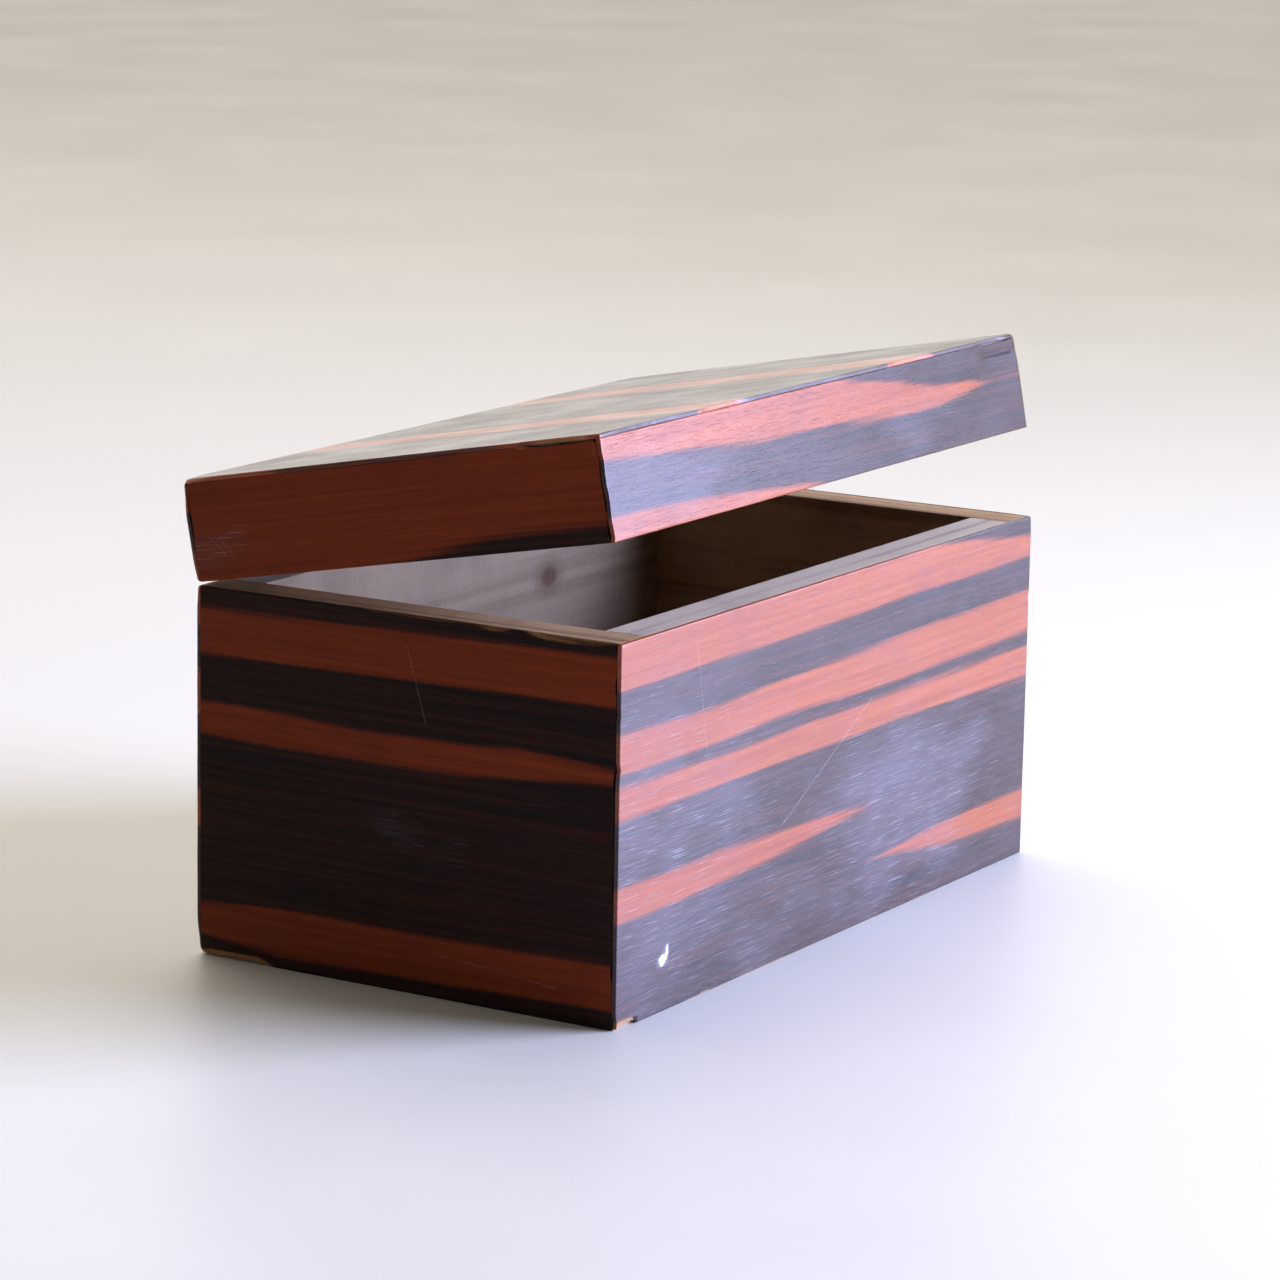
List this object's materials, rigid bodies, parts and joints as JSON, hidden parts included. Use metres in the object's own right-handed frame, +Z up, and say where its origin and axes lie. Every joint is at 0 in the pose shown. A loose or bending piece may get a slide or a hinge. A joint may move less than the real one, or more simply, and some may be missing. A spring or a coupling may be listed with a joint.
{
  "type": "tea caddy",
  "caption": "Rectangular wooden tea caddy in striped dark veneer, with a shallow hollow lid hinged along the back and standing ajar.",
  "frame": {"origin": "on the surface the box stands on, under the middle of the lower box", "axes": "+X along the front to the right, -Y out of the front, +Z up; the lid turns about the back long edge"},
  "size_m": [0.19, 0.1144, 0.1281],
  "materials": {
    "ebony_veneer": "worn wax polish, near-black and red-brown stripes",
    "carcass_pine": "raw sawn softwood",
    "brass": "dull, aged",
    "steel": "dark, rusted"
  },
  "bodies": {
    "box": {"box_bottom_board": "carcass_pine", "box_left_end_board": "carcass_pine", "box_right_end_board": "carcass_pine", "box_front_board": "carcass_pine", "box_back_board": "carcass_pine", "box_left_end_veneer": "ebony_veneer", "box_right_end_veneer": "ebony_veneer", "box_front_veneer": "ebony_veneer", "box_back_veneer": "ebony_veneer", "box_corner_brads": "steel", "box_bottom_brads": "steel", "box_hinge_screws": "brass", "left_hinge_box_leaf": "brass", "right_hinge_box_leaf": "brass", "left_hinge_pin": "brass", "right_hinge_pin": "brass"},
    "lid": {"lid_left_end_rail": "carcass_pine", "lid_right_end_rail": "carcass_pine", "lid_front_rail": "carcass_pine", "lid_back_rail": "carcass_pine", "lid_top_board": "carcass_pine", "lid_left_end_veneer": "ebony_veneer", "lid_right_end_veneer": "ebony_veneer", "lid_front_veneer": "ebony_veneer", "lid_back_veneer": "ebony_veneer", "lid_top_veneer": "ebony_veneer", "lid_corner_brads": "steel", "lid_top_brads": "steel", "lid_hinge_screws": "brass", "left_hinge_lid_leaf": "brass", "right_hinge_lid_leaf": "brass"}
  },
  "joints": [
    {"name": "lid_hinge", "type": "hinge", "parent": "box", "child": "lid", "pos_m": [0, 0.0562, 0.08415], "axis": [-1, 0, 0], "range_deg": [-11, 169]}
  ]
}
